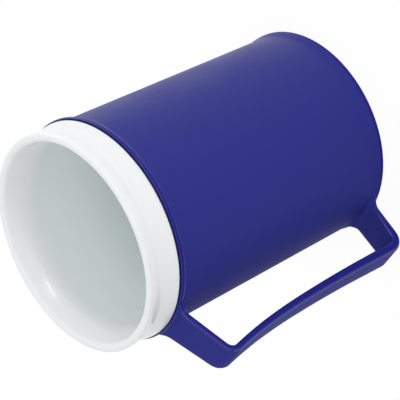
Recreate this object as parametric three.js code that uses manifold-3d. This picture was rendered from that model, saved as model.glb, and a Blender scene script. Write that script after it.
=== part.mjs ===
// Insulated camping mug: a blue moulded outer shell with its strap handle, a white cup that
// seats on the shell's rim, poured foam between the two and a plug in the foam's fill hole.
// Millimetres, +Z up. The mug stands on z = 0 with its axis on Z and its handle along +X.

import * as THREE from 'three';
import { mergeVertices } from 'three/addons/utils/BufferGeometryUtils.js';
import Module from 'manifold-3d';

// Fits
const clearance = 0.3;

// Outer shell
const shellHeight = 124.5;
const bodyBaseRadius = 47;
const bodyTopRadius = 48.84;
const shellWall = 2.4;
const shellFloor = 3;
const shellFloorFillet = 4;

// Foot of the shell
const footFlare = 1;
const footHeight = 6;
const footEdge = 0.7;
const footRingWidth = 4;
const footRecess = 0.8;
const footRecessTaper = 0.6;

// Rim of the shell, which opens into a socket for the cup
const rimFlare = 1.66;
const rimHeight = 4.6;
const rimBand = 2.1;
const rimEdge = 0.6;
const socketDepth = 3.8;
const socketLedge = 2;

// Handle
const strapWidth = 15.2;
const upperRootWidth = 19.8;
const lowerRootWidth = 17.4;
const upperThickness = 3.2;
const lowerThickness = 4.6;
const strapEdge = 1.35;
const fingerGap = 20;
const gripLean = 0.9;
const armRootDrop = 0.8;
const upperCornerDrop = 12.6;
const upperCornerReach = 5.95;
const upperCornerRadius = 4.6;
const gripBendHeight = 74.5;
const gripBendRadius = 100;
const lowerCornerRadius = 5.2;
const lowerArmLift = 0.7;
const rootFillet = 3.4;
const rootDepth = 3.6;

// White cup
const cupWall = 2;
const cupFloor = 2.2;
const cupFloorFillet = 7;
const foamFloor = 6;
const foamWallBase = 4;
const foamWallTop = 1.9;
const seamGap = 0.7;
const collarHeight = 15.8;
const collarSetback = 0.8;
const collarEdge = 0.4;
const neckDepth = 1.75;
const neckDrop = 5;
const lipSetback = 0.4;
const lipBead = 1.85;
const mouthFlareHeight = 20;
const mouthFlareAngle = THREE.MathUtils.degToRad(25);
const waistStartAngle = THREE.MathUtils.degToRad(-35);
const spigotWall = 1.6;
const channelHeight = 4.2;

// Plug in the fill hole
const fillHoleRadius = 8;
const plugHeadRadius = 11;
const plugHead = 1.2;
const plugBarb = 0.5;
const plugBarbHeight = 1.8;

// Facets
const turns = 60;
const plugTurns = 32;
const curveSteps = 4;
const cornerSteps = 7;
const strapEdgeSteps = 3;
const rootSteps = 4;

// Heights and radii that the pieces share
const bodyRadius = (z) => bodyBaseRadius + (bodyTopRadius - bodyBaseRadius) * (z / shellHeight);
const rimRadius = bodyTopRadius + rimFlare;
const footRadius = bodyBaseRadius + footFlare;
const shellFloorTop = footRecess + shellFloor;
const socketRadius = rimRadius - shellWall;
const socketFloor = shellHeight - socketDepth;
const ledgeFoot = socketFloor - socketLedge;
const cupUnderside = shellFloorTop + foamFloor + 2 * clearance;
const cupFloorTop = cupUnderside + cupFloor;
const collarFoot = shellHeight + seamGap;
const collarRadius = rimRadius - collarSetback;
const spigotRadius = socketRadius - clearance;
const channelRadius = spigotRadius - spigotWall;
const channelTop = collarFoot + channelHeight;
const cupRadiusBase = bodyRadius(cupUnderside) - shellWall - foamWallBase - 2 * clearance;
const cupRadiusTop = bodyRadius(ledgeFoot) - shellWall - foamWallTop - 2 * clearance;
const cupRadius = (z) =>
  cupRadiusBase + (cupRadiusTop - cupRadiusBase) * ((z - cupUnderside) / (ledgeFoot - cupUnderside));
const plugTop = shellFloorTop + clearance + plugBarbHeight;
const upperCornerZ = shellHeight - upperCornerDrop;
const lowerArmZ = lowerArmLift + lowerThickness / 2;

const wasm = await Module();
wasm.setup();

// A closed mesh with its shared vertices merged, as a solid that can be joined and cut.
function toSolid(geometry) {
  const bare = geometry.clone();
  bare.deleteAttribute('normal');
  bare.deleteAttribute('uv');
  const merged = mergeVertices(bare);
  const index = merged.index.array;
  const triangles = [];
  for (let i = 0; i < index.length; i += 3) {
    const [a, b, c] = [index[i], index[i + 1], index[i + 2]];
    if (a !== b && b !== c && c !== a) {
      triangles.push(a, b, c);
    }
  }
  const mesh = new wasm.Mesh({
    numProp: 3,
    vertProperties: new Float32Array(merged.attributes.position.array),
    triVerts: new Uint32Array(triangles),
  });
  return new wasm.Manifold(mesh);
}

function toGeometry(solid) {
  const mesh = solid.getMesh();
  const geometry = new THREE.BufferGeometry();
  geometry.setAttribute('position', new THREE.BufferAttribute(mesh.vertProperties, 3));
  geometry.setIndex(new THREE.BufferAttribute(mesh.triVerts, 1));
  return geometry;
}

// A profile of radius and height, turned about Z.
function revolve(profile, segments = turns) {
  const geometry = new THREE.LatheGeometry(profile.getPoints(curveSteps), segments);
  return geometry.rotateX(Math.PI / 2);
}

// Outer shell: the outside form, without its handle or its hollow.
function shellForm() {
  const footInner = footRadius - footRingWidth;
  const flareFoot = shellHeight - rimHeight;
  const flareTop = shellHeight - rimBand;
  const footMiddle = (footEdge + footHeight) / 2;
  const flareMiddle = (flareFoot + flareTop) / 2;
  const profile = new THREE.Path();
  profile.moveTo(0, footRecess);
  profile.lineTo(footInner - footRecessTaper, footRecess);
  profile.lineTo(footInner, 0);
  profile.lineTo(footRadius - footEdge, 0);
  profile.quadraticCurveTo(footRadius, 0, footRadius, footEdge);
  profile.bezierCurveTo(
    footRadius, footMiddle, bodyRadius(footMiddle), footMiddle, bodyRadius(footHeight), footHeight);
  profile.lineTo(bodyRadius(flareFoot), flareFoot);
  profile.bezierCurveTo(
    bodyRadius(flareMiddle), flareMiddle, rimRadius, flareMiddle, rimRadius, flareTop);
  profile.lineTo(rimRadius, shellHeight - rimEdge);
  profile.quadraticCurveTo(rimRadius, shellHeight, rimRadius - rimEdge, shellHeight);
  profile.lineTo(0, shellHeight);
  return toSolid(revolve(profile));
}

// The hollow of the shell, which widens at the rim into the socket, and the space over the rim.
function shellHollow() {
  const floorRadius = bodyRadius(shellFloorTop) - shellWall;
  const profile = new THREE.Path();
  profile.moveTo(0, shellFloorTop);
  profile.lineTo(floorRadius - shellFloorFillet, shellFloorTop);
  profile.quadraticCurveTo(
    floorRadius, shellFloorTop,
    bodyRadius(shellFloorTop + shellFloorFillet) - shellWall, shellFloorTop + shellFloorFillet);
  profile.lineTo(bodyRadius(ledgeFoot) - shellWall, ledgeFoot);
  profile.lineTo(socketRadius, socketFloor);
  profile.lineTo(socketRadius, shellHeight);
  profile.lineTo(rimRadius, shellHeight);
  profile.lineTo(rimRadius, shellHeight + rimBand);
  profile.lineTo(0, shellHeight + rimBand);
  return toSolid(revolve(profile));
}

// The fill hole, with a counterbore below for the head of the plug.
function fillHole() {
  const boreTop = footRecess + plugHead + clearance;
  const profile = new THREE.Path();
  profile.moveTo(0, 0);
  profile.lineTo(plugHeadRadius + clearance, 0);
  profile.lineTo(plugHeadRadius + clearance, boreTop);
  profile.lineTo(fillHoleRadius, boreTop);
  profile.lineTo(fillHoleRadius, shellFloorTop + shellFloor);
  profile.lineTo(0, shellFloorTop + shellFloor);
  return toSolid(revolve(profile, plugTurns));
}

// The middle line of the handle's strap in the plane of X and Z: straights joined by corner arcs.
function strapCurves() {
  const gripX = bodyRadius(gripBendHeight) + fingerGap + upperThickness / 2;
  const corners = [
    { at: new THREE.Vector2(rimRadius - rootDepth, shellHeight - armRootDrop) },
    {
      at: new THREE.Vector2(gripX + upperCornerReach, upperCornerZ),
      radius: upperCornerRadius,
    },
    { at: new THREE.Vector2(gripX, gripBendHeight), radius: gripBendRadius },
    { at: new THREE.Vector2(gripX - gripLean, lowerArmZ), radius: lowerCornerRadius },
    { at: new THREE.Vector2(footRadius - rootDepth, lowerArmZ) },
  ];
  const curves = [];
  let reached = corners[0].at;
  for (let i = 1; i < corners.length - 1; i += 1) {
    const { at, radius } = corners[i];
    const incoming = at.clone().sub(corners[i - 1].at).normalize();
    const outgoing = corners[i + 1].at.clone().sub(at).normalize();
    const turn = Math.atan2(incoming.cross(outgoing), incoming.dot(outgoing));
    const start = at.clone().addScaledVector(incoming, -radius * Math.tan(Math.abs(turn) / 2));
    const side = new THREE.Vector2(-incoming.y, incoming.x).multiplyScalar(Math.sign(turn));
    const centre = start.clone().addScaledVector(side, radius);
    const from = Math.atan2(start.y - centre.y, start.x - centre.x);
    const arc = new THREE.EllipseCurve(centre.x, centre.y, radius, radius, from, from + turn, turn < 0);
    curves.push(new THREE.LineCurve(reached, start), arc);
    reached = arc.getPoint(1);
  }
  curves.push(new THREE.LineCurve(reached, corners[corners.length - 1].at));
  return curves;
}

// Places along the strap where its section is drawn: close together at the roots and corners.
function strapStations() {
  const curves = strapCurves();
  const stations = [];
  curves.forEach((curve, i) => {
    const steps = curve.isLineCurve ? 1 : cornerSteps;
    const places = Array.from({ length: steps }, (_, k) => k / steps);
    const rootShare = (rootDepth + rootFillet) / curve.getLength();
    const rootPlaces = Array.from({ length: rootSteps }, (_, k) => (rootShare * (k + 1)) / rootSteps);
    if (i === 0) {
      places.push(...rootPlaces);
    }
    if (i === curves.length - 1) {
      places.push(...rootPlaces.map((place) => 1 - place).reverse(), 1);
    }
    places.forEach((u) => stations.push({ at: curve.getPoint(u), along: curve.getTangent(u) }));
  });
  return stations;
}

// How far along the strap each station lies, from -1 at one root over 0 at mid-grip to 1.
function strapShares(stations) {
  const lengths = [0];
  for (let i = 1; i < stations.length; i += 1) {
    lengths.push(lengths[i - 1] + stations[i].at.distanceTo(stations[i - 1].at));
  }
  const whole = lengths[lengths.length - 1];
  return lengths.map((length) => (2 * length) / whole - 1);
}

// The strap's width: it widens steadily to the upper root, and only late to the lower one.
function strapBreadth(share) {
  if (share < 0) {
    return THREE.MathUtils.lerp(strapWidth, upperRootWidth, share ** 2);
  }
  return THREE.MathUtils.lerp(strapWidth, lowerRootWidth, share ** 4);
}

// The strap: a flat section with rounded edges, lofted along its middle line. It thickens down
// the grip, and swells at its roots by a fillet to each side and towards the finger gap. The
// sections at the roots bend to follow the round wall.
function handleForm() {
  const middleZ = shellHeight / 2;
  const corners = [[1, 1], [-1, 1], [-1, -1], [1, -1]];
  const positions = [];
  const stations = strapStations();
  const shares = strapShares(stations);
  stations.forEach(({ at, along }, i) => {
    const wall = at.y > middleZ ? rimRadius : footRadius;
    const near = Math.max(0, 1 - Math.max(0, at.x - wall) / rootFillet);
    const swell = rootFillet * (1 - Math.sqrt(1 - near * near));
    const width = strapBreadth(shares[i]);
    const low = THREE.MathUtils.inverseLerp(upperCornerZ, lowerArmZ, at.y);
    const thickness = THREE.MathUtils.lerp(upperThickness, lowerThickness, Math.max(0, low));
    const outward = new THREE.Vector2(-along.y, along.x);
    corners.forEach(([across, through], k) => {
      const halfWidth = width / 2 + swell - strapEdge;
      const halfDepth = thickness / 2 - strapEdge + (through < 0 ? swell : 0);
      for (let step = 0; step <= strapEdgeSteps; step += 1) {
        const angle = (Math.PI / 2) * (k + step / strapEdgeSteps);
        const y = across * halfWidth + strapEdge * Math.cos(angle);
        const depth = through * halfDepth + strapEdge * Math.sin(angle);
        const hug = near * (wall - Math.sqrt(wall ** 2 - y ** 2));
        positions.push(at.x + outward.x * depth - hug, y, at.y + outward.y * depth);
      }
    });
  });
  const ring = corners.length * (strapEdgeSteps + 1);
  const index = [];
  for (let s = 0; s + 1 < stations.length; s += 1) {
    for (let k = 0; k < ring; k += 1) {
      const a = s * ring + k;
      const b = s * ring + ((k + 1) % ring);
      index.push(a, b, a + ring, b, b + ring, a + ring);
    }
  }
  const last = (stations.length - 1) * ring;
  for (let k = 1; k + 1 < ring; k += 1) {
    index.push(0, k + 1, k);
    index.push(last, last + k, last + k + 1);
  }
  const geometry = new THREE.BufferGeometry();
  geometry.setAttribute('position', new THREE.Float32BufferAttribute(positions, 3));
  geometry.setIndex(index);
  return toSolid(geometry);
}

function outerShell() {
  const outside = shellForm().add(handleForm());
  return toGeometry(outside.subtract(shellHollow()).subtract(fillHole()));
}

// White cup: rolled lip, waisted collar on the shell's rim, spigot in its socket, and the cup.
function innerCup() {
  const beadRadius = collarRadius - lipSetback - lipBead;
  const beadZ = collarFoot + collarHeight - lipBead;
  const neckRadius = collarRadius - neckDepth;
  const neckZ = beadZ - neckDrop;
  const flareFoot = collarFoot + collarHeight - mouthFlareHeight;
  const boreRadius = (z) => cupRadius(z) - cupWall;
  const floorRadius = boreRadius(cupFloorTop);
  const flareEnd = new THREE.Vector2(
    beadRadius - lipBead * Math.cos(mouthFlareAngle), beadZ + lipBead * Math.sin(mouthFlareAngle));
  const waistStart = new THREE.Vector2(
    beadRadius + lipBead * Math.cos(waistStartAngle), beadZ + lipBead * Math.sin(waistStartAngle));
  const waistTurnZ = waistStart.y + (waistStart.x - neckRadius) / Math.tan(waistStartAngle);
  const flareTurnZ = flareEnd.y - (flareEnd.x - boreRadius(flareEnd.y)) / Math.tan(mouthFlareAngle);
  const outerFillet = cupFloorFillet + cupWall;
  const profile = new THREE.Path();
  profile.moveTo(0, cupUnderside);
  profile.lineTo(cupRadiusBase - outerFillet, cupUnderside);
  profile.quadraticCurveTo(
    cupRadiusBase, cupUnderside, cupRadius(cupUnderside + outerFillet), cupUnderside + outerFillet);
  profile.lineTo(cupRadius(channelTop), channelTop);
  profile.lineTo(channelRadius, channelTop);
  profile.lineTo(channelRadius, socketFloor + clearance);
  profile.lineTo(spigotRadius, socketFloor + clearance);
  profile.lineTo(spigotRadius, collarFoot);
  profile.lineTo(collarRadius - collarEdge, collarFoot);
  profile.quadraticCurveTo(collarRadius, collarFoot, collarRadius, collarFoot + collarEdge);
  profile.quadraticCurveTo(neckRadius, (neckZ + collarFoot) / 2, neckRadius, neckZ);
  profile.quadraticCurveTo(neckRadius, waistTurnZ, waistStart.x, waistStart.y);
  profile.absarc(beadRadius, beadZ, lipBead, waistStartAngle, Math.PI - mouthFlareAngle);
  profile.quadraticCurveTo(boreRadius(flareTurnZ), flareTurnZ, boreRadius(flareFoot), flareFoot);
  profile.lineTo(boreRadius(cupFloorTop + cupFloorFillet), cupFloorTop + cupFloorFillet);
  profile.quadraticCurveTo(floorRadius, cupFloorTop, floorRadius - cupFloorFillet, cupFloorTop);
  profile.lineTo(0, cupFloorTop);
  return revolve(profile);
}

// Foam that fills the space between the shell and the cup, up into the channel of the collar.
function foamFill() {
  const bottom = shellFloorTop + clearance;
  const top = channelTop - clearance;
  const dimple = fillHoleRadius + plugBarb + clearance;
  const outer = (z) => bodyRadius(z) - shellWall - clearance;
  const inner = (z) => cupRadius(z) + clearance;
  const underCup = cupUnderside - clearance;
  const cupFillet = cupFloorFillet + cupWall;
  const profile = new THREE.Path();
  profile.moveTo(0, plugTop + clearance);
  profile.lineTo(dimple, plugTop + clearance);
  profile.lineTo(dimple, bottom);
  profile.lineTo(outer(bottom) - shellFloorFillet, bottom);
  profile.quadraticCurveTo(
    outer(bottom), bottom, outer(bottom + shellFloorFillet), bottom + shellFloorFillet);
  profile.lineTo(outer(ledgeFoot), ledgeFoot);
  profile.lineTo(channelRadius - clearance, socketFloor);
  profile.lineTo(channelRadius - clearance, top);
  profile.lineTo(inner(top), top);
  profile.lineTo(inner(underCup + cupFillet), underCup + cupFillet);
  profile.quadraticCurveTo(inner(underCup), underCup, inner(underCup) - cupFillet, underCup);
  profile.lineTo(0, underCup);
  return revolve(profile);
}

// Plug with a flush head below and a barb that snaps in above the shell's floor.
function fillPlug() {
  const stem = fillHoleRadius - clearance;
  const barbFoot = shellFloorTop + clearance;
  const profile = new THREE.Path();
  profile.moveTo(0, footRecess);
  profile.lineTo(plugHeadRadius, footRecess);
  profile.lineTo(plugHeadRadius, footRecess + plugHead);
  profile.lineTo(stem, footRecess + plugHead);
  profile.lineTo(stem, barbFoot);
  profile.lineTo(fillHoleRadius + plugBarb, barbFoot + plugBarb);
  profile.lineTo(stem - plugBarb, plugTop);
  profile.lineTo(0, plugTop);
  return revolve(profile, plugTurns);
}

const bluePlastic = { color: 0x1f2178, roughness: 0.42, metalness: 0 };
const whitePlastic = { color: 0xeceef0, roughness: 0.3, metalness: 0 };
const paleFoam = { color: 0xe6dcb8, roughness: 0.95, metalness: 0 };

const mug = new THREE.Group();
mug.name = 'camping_mug';

function addPiece(name, geometry, finish) {
  const piece = new THREE.Mesh(geometry, new THREE.MeshStandardMaterial(finish));
  piece.name = name;
  mug.add(piece);
}

addPiece('outer_shell', outerShell(), bluePlastic);
addPiece('inner_cup', innerCup(), whitePlastic);
addPiece('foam_insulation', foamFill(), paleFoam);
addPiece('fill_plug', fillPlug(), bluePlastic);

export default mug;
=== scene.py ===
import math

import bmesh
import bpy
from mathutils import Matrix, Vector


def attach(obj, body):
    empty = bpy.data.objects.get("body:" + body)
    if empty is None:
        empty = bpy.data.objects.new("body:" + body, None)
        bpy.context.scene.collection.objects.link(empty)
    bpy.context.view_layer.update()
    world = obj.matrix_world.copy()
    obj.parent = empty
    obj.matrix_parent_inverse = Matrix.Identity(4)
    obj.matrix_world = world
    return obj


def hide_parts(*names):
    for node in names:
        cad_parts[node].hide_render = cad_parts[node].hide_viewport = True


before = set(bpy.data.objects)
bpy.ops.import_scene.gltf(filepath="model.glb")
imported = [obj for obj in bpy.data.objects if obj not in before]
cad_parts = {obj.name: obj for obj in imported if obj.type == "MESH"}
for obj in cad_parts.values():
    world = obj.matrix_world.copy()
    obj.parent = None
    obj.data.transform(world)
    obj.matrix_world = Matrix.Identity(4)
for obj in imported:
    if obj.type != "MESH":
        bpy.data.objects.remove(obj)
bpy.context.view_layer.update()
print("frame loaded:", sorted(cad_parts))

mm = 0.001
scene = bpy.context.scene
scene.view_settings.view_transform = "Standard"


# outlines and turned pieces

turning = {
    "steps": 256,
    "cornerSegments": 8,
    "longestEdge": 3.0,  # mm, like all lengths of the pieces
    "mergeDistance": 0.001,
    "sharpAngle": 38,  # degrees
}


def meshObject(name, bm):
    mesh = bpy.data.meshes.new(name)
    bm.to_mesh(mesh)
    bm.free()
    piece = bpy.data.objects.new(name, mesh)
    scene.collection.objects.link(piece)
    return piece


def roundedWire(bm, corners, closed, segments):
    # corners are (along, height, rounding) in mm, drawn in the plane y = 0
    verts = [bm.verts.new((along * mm, 0, height * mm)) for along, height, rounding in corners]
    for first, second in zip(verts, verts[1:]):
        bm.edges.new((first, second))
    if closed:
        bm.edges.new((verts[-1], verts[0]))
    for vert, (along, height, rounding) in zip(verts, corners):
        if rounding:
            bmesh.ops.bevel(
                bm, geom=[vert], offset=rounding * mm, offset_type="OFFSET", segments=segments,
                profile=0.5, affect="VERTICES", material=-1,
            )


def turnOutline(name, corners, closed):
    bm = bmesh.new()
    roundedWire(bm, corners, closed, turning["cornerSegments"])
    for edge in list(bm.edges):
        cuts = int(edge.calc_length() / (turning["longestEdge"] * mm))
        if cuts:
            bmesh.ops.subdivide_edges(bm, edges=[edge], cuts=cuts)
    bmesh.ops.spin(
        bm, geom=bm.verts[:] + bm.edges[:], cent=(0, 0, 0), axis=(0, 0, 1), dvec=(0, 0, 0),
        angle=math.tau, steps=turning["steps"], use_merge=True, use_duplicate=False,
    )
    bmesh.ops.remove_doubles(bm, verts=bm.verts, dist=turning["mergeDistance"] * mm)
    bmesh.ops.recalc_face_normals(bm, faces=bm.faces)
    return meshObject(name, bm)


def smoothFaces(piece):
    piece.data.shade_smooth()
    piece.data.set_sharp_from_angle(angle=math.radians(turning["sharpAngle"]))


# blue shell

shell = {
    "outline": [  # from the fill hole under the base, up the outside and down the inside
        (11.3, 0.8, 0.15),
        (43.4, 0.8, 0.4),
        (44.0, 0.0, 0.3),
        (48.0, 0.0, 0.7),
        (48.0, 2.2, 1.4),
        (47.07, 5.0, 2.0),
        (48.79, 121.2, 1.0),
        (50.5, 122.5, 0.7),
        (50.5, 124.5, 0.35),
        (49.9, 124.5, 0.2),
        (49.7, 124.0, 0.15),
        (48.1, 124.0, 0.2),
        (48.1, 120.7, 0.3),
        (46.36, 118.7, 1.0),
        (44.66, 3.8, 4.0),
        (8.0, 3.8, 0.15),
        (8.0, 2.3, 0),
        (11.3, 2.3, 0),
    ],
    "baseRadius": 47.0,
    "topRadius": 48.84,
    "height": 124.5,
    "rimRadius": 50.5,
    "rimFoot": 120.7,
    "rimRise": 1.8,
    "footRadius": 48.0,
    "footTop": 5.0,
    "footRise": 2.4,
}


def wallReach(height):
    # how far the shell's outside is from the axis, in mm
    body = shell["baseRadius"] + (shell["topRadius"] - shell["baseRadius"]) * height / shell["height"]
    if height > shell["rimFoot"]:
        share = min(1, (height - shell["rimFoot"]) / shell["rimRise"])
        return body + (shell["rimRadius"] - body) * share
    if height < shell["footTop"]:
        share = min(1, (shell["footTop"] - height) / shell["footRise"])
        return body + (shell["footRadius"] - body) * share
    return body


# strap handle, which runs from the rim out, down the grip and back to the foot

strap = {
    "width": 15.2,
    "upperRootWidth": 19.8,
    "lowerRootWidth": 18.8,
    "upperThickness": 3.2,
    "lowerThickness": 4.6,
    "lowerRootThinning": 1.6,
    "lowerArmStart": 0.9,  # share of the way down from the upper corner
    "edge": 1.55,
    "edgeSegments": 6,
    "upperFillet": (3.4, 3.4),  # sideways, and towards the finger gap
    "lowerFillet": (3.0, 1.6),
    "filletSteps": 9,
    "rootDepth": 1.2,
    "upperRoot": (47.2, 123.6),
    "upperCorner": (75.74, 111.85, 4.2),
    "gripBends": [(72.5, 96.0, 9.0), (70.1, 74.5, 10.0), (68.7, 41.0, 15.0)],
    "lowerCorner": (68.95, 3.0, 5.2),
    "lowerRoot": (44.2, 3.0),
    "bendSegments": 10,
}


def strapRoute():
    # points of the strap's middle line in mm, from the upper root to the lower one
    bm = bmesh.new()
    bends = [strap["upperCorner"], *strap["gripBends"], strap["lowerCorner"]]
    corners = [(*strap["upperRoot"], 0), *bends, (*strap["lowerRoot"], 0)]
    roundedWire(bm, corners, False, strap["bendSegments"])
    ends = [vert for vert in bm.verts if len(vert.link_edges) == 1]
    vert = max(ends, key=lambda end: end.co.z)
    route = [vert.co / mm]
    edge = None
    while True:
        onward = [link for link in vert.link_edges if link is not edge]
        if not onward:
            break
        edge = onward[0]
        vert = edge.other_vert(vert)
        route.append(vert.co / mm)
    bm.free()
    return route


def rootRings(root, towards, wall, fillet):
    # (point, swell, hug) from inside the wall out along the strap, over the fillet
    along = (towards - root).normalized()
    atWall = root + along * ((wall - root.x) / along.x)
    sideways, inward = fillet
    rings = [(atWall - along * strap["rootDepth"], fillet, 1.0)]
    for step in range(strap["filletSteps"] + 1):
        done = step / strap["filletSteps"]
        turn = math.pi / 2 * done
        left = 1 - math.sin(turn)
        point = atWall + along * (sideways * (1 - math.cos(turn)))
        rings.append((point, (sideways * left, inward * left), (1 - done) ** 2))
    return rings


def strapStations():
    # (point, swell, hug) where the strap's section is drawn, over its whole length
    route = strapRoute()
    upper = rootRings(route[0], route[1], shell["rimRadius"], strap["upperFillet"])
    lower = rootRings(route[-1], route[-2], shell["footRadius"], strap["lowerFillet"])
    grip = [(point, (0.0, 0.0), 0.0) for point in route[1:-1]]
    return upper + grip + lower[::-1]


def strapSection(bm):
    # the strap's least section, flat with rounded edges, in mm
    section = bmesh.ops.create_grid(bm, x_segments=1, y_segments=1, size=1)
    for vert in section["verts"]:
        across = math.copysign(strap["width"] / 2, vert.co.x)
        vert.co = (across, math.copysign(strap["upperThickness"] / 2, vert.co.y), 0)
    bmesh.ops.bevel(
        bm, geom=section["verts"], offset=strap["edge"], offset_type="OFFSET",
        segments=strap["edgeSegments"], profile=0.5, affect="VERTICES", material=-1,
    )
    return bm.faces[:][0]


def strapGrowth(point, share):
    # how much wider and thicker the strap is to each side; share is -1 and 1 at the roots
    if share < 0:
        widening = (strap["upperRootWidth"] - strap["width"]) / 2 * share ** 2
    else:
        widening = (strap["lowerRootWidth"] - strap["width"]) / 2 * share ** 4
    topHeight = strap["upperCorner"][1]
    cornerReach, cornerHeight, rounding = strap["lowerCorner"]
    lowness = (topHeight - point.z) / (topHeight - cornerHeight)
    thickening = (strap["lowerThickness"] - strap["upperThickness"]) / 2 * max(0, lowness)
    if lowness > strap["lowerArmStart"]:
        rootward = max(0, (cornerReach - point.x) / (cornerReach - shell["footRadius"]))
        thickening -= strap["lowerRootThinning"] / 2 * min(1, rootward)
    return widening, thickening


def extrudeEnd(bm, face, keepOld):
    grown = bmesh.ops.extrude_face_region(bm, geom=[face])
    newFace = [item for item in grown["geom"] if isinstance(item, bmesh.types.BMFace)][0]
    if not keepOld:
        bmesh.ops.delete(bm, geom=[face], context="FACES_ONLY")
    return newFace


def nearestVert(verts, place):
    return min(verts, key=lambda vert: (vert.co - place).length_squared)


def handleSolid():
    # the section extruded from station to station; at the roots it hugs the shell's round wall
    stations = strapStations()
    last = len(stations) - 1
    points = [point for point, swell, hug in stations]
    lengths = [0.0]
    for before, after in zip(points, points[1:]):
        lengths.append(lengths[-1] + (after - before).length)
    bm = bmesh.new()
    face = strapSection(bm)
    ring = bm.verts[:]
    flat = [vert.co.copy() for vert in ring]
    for count, (point, (sideways, inward), hug) in enumerate(stations):
        if count:
            places = [vert.co.copy() for vert in ring]
            face = extrudeEnd(bm, face, count == 1)
            ring = [nearestVert(face.verts, place) for place in places]
        along = (points[min(count + 1, last)] - points[max(count - 1, 0)]).normalized()
        outward = Vector((-along.z, 0, along.x))
        widening, thickening = strapGrowth(point, 2 * lengths[count] / lengths[-1] - 1)
        inset = strap["rootDepth"] if count in (0, last) else 0
        for vert, spot in zip(ring, flat):
            across = spot.x + math.copysign(sideways + widening, spot.x)
            through = spot.y - (inward if spot.y < 0 else 0) + math.copysign(thickening, spot.y)
            place = point + outward * through
            place.y = across
            if hug:
                wall = wallReach(place.z)
                onWall = math.sqrt(wall * wall - across * across) - inset
                place.x += (onWall - place.x) * hug
            vert.co = place
    bmesh.ops.scale(bm, vec=(mm, mm, mm), verts=bm.verts)
    bmesh.ops.recalc_face_normals(bm, faces=bm.faces)
    return meshObject("handleSolid", bm)


def joinInto(piece, other):
    joiner = piece.modifiers.new("join", "BOOLEAN")
    joiner.operation = "UNION"
    joiner.solver = "EXACT"
    joiner.object = other
    depsgraph = bpy.context.evaluated_depsgraph_get()
    joined = bpy.data.meshes.new_from_object(piece.evaluated_get(depsgraph))
    piece.modifiers.clear()
    piece.data = joined
    bpy.data.objects.remove(other)


# marks on the vertices, which the finishes read, one of them painted shade on the shell and painted
# light in the cup

shellFinish = {
    "strapStart": 52.0,
    "strapSide": (0.15, 0.65),
    "rimStart": 122.2,
    "rimReach": (49.4, 50.2),
    "footEnd": 2.0,
    "footReach": (46.8, 47.6),
    "satinSpan": (-5.0, 42.0),
    "glossTurn": 0.6,
    "glossSpan": 0.28,
    "glossPeak": 1.4,
}


def between(value, span):
    return (value - span[0]) / (span[1] - span[0])


def markShare(piece, label, shareAt):
    # a value from 0 to 1 on each vertex
    layer = piece.data.attributes.new(label, "FLOAT", "POINT")
    for vert, normal in zip(piece.data.vertices, piece.data.vertex_normals):
        share = shareAt(vert.co / mm, normal.vector)
        layer.data[vert.index].value = max(0, min(1, share))


def edgePaintedShade(spot, normal):
    # painted shade: the strap's sides, the rim's top and the foot's edge are painted a deeper, more
    # saturated blue than the satin faces, as if less sheen fell on them and the seam lay in shade
    reach = math.hypot(spot.x, spot.y)
    if reach > shellFinish["strapStart"]:
        return between(abs(normal.y), shellFinish["strapSide"])
    if spot.z > shellFinish["rimStart"]:
        return between(reach, shellFinish["rimReach"])
    if spot.z < shellFinish["footEnd"]:
        return between(reach, shellFinish["footReach"])
    return 0


def edgeGloss(spot, normal):
    # the rounded edges of the strap, the rim and the foot are polished
    if math.hypot(spot.x, spot.y) > shellFinish["strapStart"]:
        turn = abs(normal.y)
    elif spot.z > shellFinish["rimStart"] or spot.z < shellFinish["footEnd"]:
        turn = abs(normal.z)
    else:
        return 0
    return shellFinish["glossPeak"] - abs(turn - shellFinish["glossTurn"]) / shellFinish["glossSpan"]


def satinShare(spot, normal):
    # the satin is coarser on the handle's side
    return between(spot.x, shellFinish["satinSpan"])


shellPiece = turnOutline("mug_shell", shell["outline"], True)
joinInto(shellPiece, handleSolid())
smoothFaces(shellPiece)
# painted shade on the strap's sides, the rim and the foot
markShare(shellPiece, "paintedLightAndShade", edgePaintedShade)
markShare(shellPiece, "gloss", edgeGloss)
markShare(shellPiece, "satin", satinShare)
print("shell:", len(shellPiece.data.polygons), "faces")


# white cup

cup = {
    "outline": [  # from under the floor, up the outside, over the lip and down the inside
        (0, 10.4, 0),
        (40.15, 10.4, 8.5),
        (44.21, 129.4, 0.9),
        (46.2, 129.4, 0.9),
        (46.2, 121.0, 0.3),
        (47.8, 121.0, 0.4),
        (47.8, 125.2, 0),
        (49.8, 125.2, 0.25),
        (49.8, 126.0, 0.3),
        (48.7, 132.2, 4.0),
        (48.7, 134.8, 2.4),
        (49.3, 138.0, 2.2),
        (49.3, 140.98, 1.5),
        (46.0, 140.98, 1.5),
        (42.05, 131.0, 4.4),
        (38.2, 12.6, 6.8),
        (0, 12.6, 0),
    ],
    "insideReach": 44.0,
    "insideFloor": 12.5,
    "depthSpan": (136.0, 106.0),
}


def cupPaintedLight(spot, normal):
    # painted light: the inside is painted brighter and greener with depth below the lip, standing in
    # for light bounced about inside the cup
    inside = math.hypot(spot.x, spot.y) < cup["insideReach"] and spot.z > cup["insideFloor"]
    return between(spot.z, cup["depthSpan"]) if inside else 0


cupPiece = turnOutline("mug_cup", cup["outline"], False)
smoothFaces(cupPiece)
# painted light, brighter and greener deeper inside the cup
markShare(cupPiece, "paintedLightAndShade", cupPaintedLight)
print("cup:", len(cupPiece.data.polygons), "faces")


# foam between the walls

foam = {
    "outline": [
        (0, 6.2, 0),
        (8.8, 6.2, 0.3),
        (8.8, 4.1, 0.3),
        (44.35, 4.1, 4.0),
        (46.06, 118.7, 0.4),
        (45.9, 120.7, 0.4),
        (45.9, 129.1, 0.4),
        (44.5, 129.1, 0.4),
        (40.45, 10.1, 9.0),
        (0, 10.1, 0),
    ],
}

foamPiece = turnOutline("foam_fill", foam["outline"], False)
smoothFaces(foamPiece)


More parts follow.
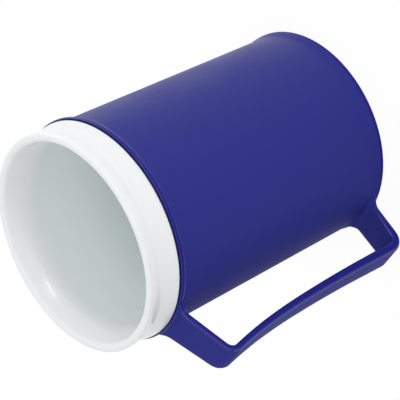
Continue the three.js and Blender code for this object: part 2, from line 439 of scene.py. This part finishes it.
# plug under the base

plug = {
    "outline": [
        (0, 0.8, 0),
        (11.0, 0.8, 0.3),
        (11.0, 2.0, 0.2),
        (7.7, 2.0, 0.2),
        (7.7, 4.1, 0.2),
        (8.5, 4.6, 0.2),
        (7.2, 5.9, 0.3),
        (0, 5.9, 0),
    ],
}

plugPiece = turnOutline("base_plug", plug["outline"], False)
smoothFaces(plugPiece)
print("foam and plug modelled")


# finishes

# a Mix node's sockets go by place, because each kind of value has the same names
mixShare = 0
mixValues = (2, 3)
mixColours = (6, 7)
mixedValue = 0
mixedColour = 2
noiseSpan = (0.3, 0.7)  # most of a noise lies between these


def addNode(tree, kind, values=None, **settings):
    node = tree.nodes.new(kind)
    for key, value in settings.items():
        setattr(node, key, value)
    for key, value in (values or {}).items():
        node.inputs[key].default_value = value
    return node


def mouldGrainGroup():
    # fine moulded grain, slow waviness and patchy sheen on Object coordinates
    tree = bpy.data.node_groups.new("mouldGrain", "ShaderNodeTree")
    for label, kind in (("Vector", "NodeSocketVector"), ("Grain Scale", "NodeSocketFloat"),
                        ("Wave Scale", "NodeSocketFloat"), ("Wave Share", "NodeSocketFloat")):
        tree.interface.new_socket(label, in_out="INPUT", socket_type=kind)
    for label in ("Height", "Patches"):
        tree.interface.new_socket(label, in_out="OUTPUT", socket_type="NodeSocketFloat")
    entry = addNode(tree, "NodeGroupInput")
    leave = addNode(tree, "NodeGroupOutput")
    grain = addNode(tree, "ShaderNodeTexNoise", {"Detail": 2.0, "Roughness": 0.6})
    wave = addNode(tree, "ShaderNodeTexNoise", {"Detail": 1.0, "Roughness": 0.4})
    patches = addNode(tree, "ShaderNodeTexNoise", {"Scale": 55.0, "Detail": 4.0, "Roughness": 0.55})
    blend = addNode(tree, "ShaderNodeMix", data_type="FLOAT")
    links = tree.links
    for noise in (grain, wave, patches):
        links.new(entry.outputs["Vector"], noise.inputs["Vector"])
    links.new(entry.outputs["Grain Scale"], grain.inputs["Scale"])
    links.new(entry.outputs["Wave Scale"], wave.inputs["Scale"])
    links.new(entry.outputs["Wave Share"], blend.inputs[mixShare])
    for noise, place in zip((grain, wave), mixValues):
        links.new(noise.outputs["Fac"], blend.inputs[place])
    links.new(blend.outputs[mixedValue], leave.inputs["Height"])
    links.new(patches.outputs["Fac"], leave.inputs["Patches"])
    return tree


mouldGrain = mouldGrainGroup()


def addColour(tree, look, patches):
    # two close shades in patches, and a third painted over them where the piece is marked: painted
    # shade on the shell's edges, painted light deep in the cup
    shades = [(*look[shade], 1) for shade in ("dark", "light")]
    patchy = addNode(tree, "ShaderNodeMix", dict(zip(mixColours, shades)), data_type="RGBA")
    tree.links.new(patches, patchy.inputs[mixShare])
    if "paintedLightAndShadeColour" not in look:
        return patchy.outputs[mixedColour]
    paintedLightAndShade = addNode(tree, "ShaderNodeAttribute", attribute_name="paintedLightAndShade")
    plainPlace, paintedPlace = mixColours
    colour = addNode(tree, "ShaderNodeMix", {paintedPlace: (*look["paintedLightAndShadeColour"], 1)}, data_type="RGBA")
    tree.links.new(paintedLightAndShade.outputs["Fac"], colour.inputs[mixShare])
    tree.links.new(patchy.outputs[mixedColour], colour.inputs[plainPlace])
    return colour.outputs[mixedColour]


def addRoughness(tree, look, patches):
    # patchy roughness, and more of it where the piece is marked as coarse satin
    least, most = look["rough"]
    rough = addNode(tree, "ShaderNodeMapRange", {
        "From Min": noiseSpan[0], "From Max": noiseSpan[1], "To Min": least, "To Max": most})
    tree.links.new(patches, rough.inputs["Value"])
    if "satin" not in look:
        return rough.outputs["Result"]
    side = addNode(tree, "ShaderNodeAttribute", attribute_name="satin")
    coarse = addNode(tree, "ShaderNodeMath", {1: look["satin"]}, operation="MULTIPLY_ADD")
    tree.links.new(side.outputs["Fac"], coarse.inputs[0])
    tree.links.new(rough.outputs["Result"], coarse.inputs[2])
    return coarse.outputs[0]


def addEdgeCoat(tree, look):
    edge = addNode(tree, "ShaderNodeAttribute", attribute_name="gloss")
    coat = addNode(tree, "ShaderNodeMath", {1: look["gloss"]}, operation="MULTIPLY")
    tree.links.new(edge.outputs["Fac"], coat.inputs[0])
    return coat.outputs[0]


def mouldedMaterial(name, look):
    material = bpy.data.materials.new(name)
    material.use_nodes = True
    tree = material.node_tree
    tree.nodes.clear()
    links = tree.links
    output = addNode(tree, "ShaderNodeOutputMaterial")
    shader = addNode(tree, "ShaderNodeBsdfPrincipled", look["shader"])
    place = addNode(tree, "ShaderNodeTexCoord")
    grain = addNode(tree, "ShaderNodeGroup", look["grain"], node_tree=mouldGrain)
    bump = addNode(tree, "ShaderNodeBump", {
        "Strength": look["bump"], "Distance": look["bumpDepth"] * mm})
    patches = grain.outputs["Patches"]
    links.new(place.outputs["Object"], grain.inputs["Vector"])
    links.new(grain.outputs["Height"], bump.inputs["Height"])
    links.new(addColour(tree, look, patches), shader.inputs["Base Color"])
    links.new(addRoughness(tree, look, patches), shader.inputs["Roughness"])
    if "gloss" in look:
        links.new(addEdgeCoat(tree, look), shader.inputs["Coat Weight"])
    links.new(bump.outputs["Normal"], shader.inputs["Normal"])
    links.new(shader.outputs["BSDF"], output.inputs["Surface"])
    return material


blueLook = {
    "shader": {"IOR": 1.49, "Specular IOR Level": 0.24, "Coat Roughness": 0.12, "Coat IOR": 1.5},
    "grain": {"Grain Scale": 2600.0, "Wave Scale": 220.0, "Wave Share": 0.35},
    "dark": (0.0138, 0.0174, 0.198),
    "light": (0.0170, 0.0212, 0.224),
    # painted shade for the strap's sides, the rim and the foot
    "paintedLightAndShadeColour": (0.0037, 0.0050, 0.198),
    "gloss": 1.0,
    "rough": (0.40, 0.48),
    "satin": 0.30,
    "bump": 0.12,
    "bumpDepth": 0.15,
}
whiteLook = {
    "shader": {"IOR": 1.49, "Specular IOR Level": 0.35, "Subsurface Weight": 0.12,
               "Subsurface Scale": 0.004, "Subsurface Radius": (1.0, 0.95, 0.9)},
    "grain": {"Grain Scale": 1800.0, "Wave Scale": 160.0, "Wave Share": 0.5},
    "dark": (0.785, 0.793, 0.805),
    "light": (0.815, 0.823, 0.835),
    # painted light for the deep inside of the cup
    "paintedLightAndShadeColour": (0.875, 0.935, 0.935),
    "rough": (0.13, 0.18),
    "bump": 0.06,
    "bumpDepth": 0.12,
}
foamLook = {
    "shader": {"IOR": 1.3},
    "grain": {"Grain Scale": 900.0, "Wave Scale": 260.0, "Wave Share": 0.4},
    "dark": (0.66, 0.55, 0.30),
    "light": (0.79, 0.72, 0.48),
    "rough": (0.86, 0.97),
    "bump": 0.8,
    "bumpDepth": 0.5,
}

bluePlastic = mouldedMaterial("satin_blue_plastic", blueLook)
whitePlastic = mouldedMaterial("white_plastic", whiteLook)
paleFoam = mouldedMaterial("pale_foam", foamLook)

pieces = [
    (shellPiece, bluePlastic, "outer_shell", "blue_shell"),
    (cupPiece, whitePlastic, "inner_cup", "white_cup"),
    (foamPiece, paleFoam, "foam_insulation", "foam"),
    (plugPiece, bluePlastic, "fill_plug", "blue_shell"),
]
for piece, material, node, slotName in pieces:
    piece.data.materials.clear()
    piece.data.materials.append(material)
    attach(piece, "root")
    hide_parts(node)
print("finishes set")


# camera at the photograph's viewing angle, rolled as the photograph is

view = {
    "azimuth": 72.0,
    "elevation": 35.77,
    "roll": -116.09,
    "distance": 934.5,
    "aimHeight": 62.93,
    "aimShift": (-2.96, -9.12),
    "lens": 190.7,
    "sensor": 36,
}


def direction(azimuth, elevation):
    # from the mug towards a place in the studio, with both angles in degrees
    azimuth, elevation = math.radians(azimuth), math.radians(elevation)
    level = math.cos(elevation)
    return Vector((level * math.cos(azimuth), level * math.sin(azimuth), math.sin(elevation)))


def addCamera():
    azimuth, roll = math.radians(view["azimuth"]), math.radians(view["roll"])
    back = direction(view["azimuth"], view["elevation"])
    level = Vector((-math.sin(azimuth), math.cos(azimuth), 0))
    upright = back.cross(level)
    right = level * math.cos(roll) + upright * math.sin(roll)
    up = upright * math.cos(roll) - level * math.sin(roll)
    across, along = view["aimShift"]
    aim = Vector((0, 0, view["aimHeight"])) + right * across + up * along
    turn = Matrix((right, up, back)).transposed().to_4x4()
    data = bpy.data.cameras.new("camera")
    data.lens = view["lens"]
    data.sensor_width = view["sensor"]
    camera = bpy.data.objects.new("camera", data)
    camera.matrix_world = Matrix.Translation((aim + back * view["distance"]) * mm) @ turn
    scene.collection.objects.link(camera)
    scene.camera = camera


addCamera()


# floor and world

stage = {
    "floorSize": 6.0,
    "floorColour": (0.86, 0.86, 0.86, 1),
    "shadowShare": 0.08,
    "floorGlow": 1.015,
    "ambient": 0.93,
    "dimSide": 0.2,
    "dimTowards": (0.62, -0.1, -0.78),
    "dimSpan": (0.1, 0.7),
    "white": (1, 1, 1, 1),
}


def whiteToCamera(tree, plain, white):
    # the floor is white to the camera, in reflections and through clear things, plain to other rays
    path = addNode(tree, "ShaderNodeLightPath")
    seen = addNode(tree, "ShaderNodeMath", operation="MAXIMUM")
    seenOrThrough = addNode(tree, "ShaderNodeMath", operation="MAXIMUM")
    mix = addNode(tree, "ShaderNodeMixShader")
    links = tree.links
    links.new(path.outputs["Is Camera Ray"], seen.inputs[0])
    links.new(path.outputs["Is Glossy Ray"], seen.inputs[1])
    links.new(seen.outputs[0], seenOrThrough.inputs[0])
    links.new(path.outputs["Is Transmission Ray"], seenOrThrough.inputs[1])
    links.new(seenOrThrough.outputs[0], mix.inputs[0])
    links.new(plain.outputs[0], mix.inputs[1])
    links.new(white.outputs[0], mix.inputs[2])
    return mix


def addFloor():
    bm = bmesh.new()
    bmesh.ops.create_grid(bm, x_segments=1, y_segments=1, size=stage["floorSize"] / 2)
    floor = meshObject("floor", bm)
    material = bpy.data.materials.new("pale_floor")
    material.use_nodes = True
    tree = material.node_tree
    tree.nodes.clear()
    output = addNode(tree, "ShaderNodeOutputMaterial")
    plain = addNode(tree, "ShaderNodeBsdfDiffuse", {"Color": stage["floorColour"]})
    glow = addNode(tree, "ShaderNodeEmission", {
        "Color": stage["white"], "Strength": stage["floorGlow"]})
    white = addNode(tree, "ShaderNodeMixShader", {"Fac": 1 - stage["shadowShare"]})
    tree.links.new(plain.outputs[0], white.inputs[1])
    tree.links.new(glow.outputs[0], white.inputs[2])
    mix = whiteToCamera(tree, plain, white)
    tree.links.new(mix.outputs[0], output.inputs["Surface"])
    floor.data.materials.append(material)


def addWorld():
    # even light from all round, dimmer from low on the handle's side
    world = bpy.data.worlds.new("studio")
    scene.world = world
    world.use_nodes = True
    tree = world.node_tree
    tree.nodes.clear()
    output = addNode(tree, "ShaderNodeOutputWorld")
    place = addNode(tree, "ShaderNodeTexCoord")
    facing = addNode(tree, "ShaderNodeVectorMath", {1: stage["dimTowards"]}, operation="DOT_PRODUCT")
    start, end = stage["dimSpan"]
    dim = addNode(tree, "ShaderNodeMapRange", {
        "From Min": start, "From Max": end, "To Min": stage["ambient"], "To Max": stage["dimSide"],
    }, interpolation_type="SMOOTHSTEP")
    sky = addNode(tree, "ShaderNodeBackground", {"Color": stage["white"]})
    tree.links.new(place.outputs["Generated"], facing.inputs[0])
    tree.links.new(facing.outputs["Value"], dim.inputs["Value"])
    tree.links.new(dim.outputs["Result"], sky.inputs["Strength"])
    tree.links.new(sky.outputs[0], output.inputs["Surface"])


# lamps, all at one distance from the mug's middle

lampDistance = 0.9  # metres, like the lamps' sizes
lamps = {
    "side_strip": {"azimuth": 180, "elevation": 2, "size": (0.5, 0.11), "power": 0.68},
    "front_strip": {"azimuth": 104, "elevation": 10.8, "size": (0.34, 0.024), "power": 0.75},
    "front_fill": {"azimuth": 85, "elevation": 42, "size": (0.5, 0.5), "power": 0.95},
}


def addLamp(name, lamp):
    towards = direction(lamp["azimuth"], lamp["elevation"])
    data = bpy.data.lights.new(name, "AREA")
    data.shape = "RECTANGLE"
    data.size, data.size_y = lamp["size"]
    data.energy = lamp["power"]
    light = bpy.data.objects.new(name, data)
    light.location = Vector((0, 0, view["aimHeight"] * mm)) + towards * lampDistance
    light.rotation_euler = towards.to_track_quat("Z", "Y").to_euler()
    scene.collection.objects.link(light)


addFloor()
addWorld()
for lampName, lamp in lamps.items():
    addLamp(lampName, lamp)
print("camera, floor and lamps set")
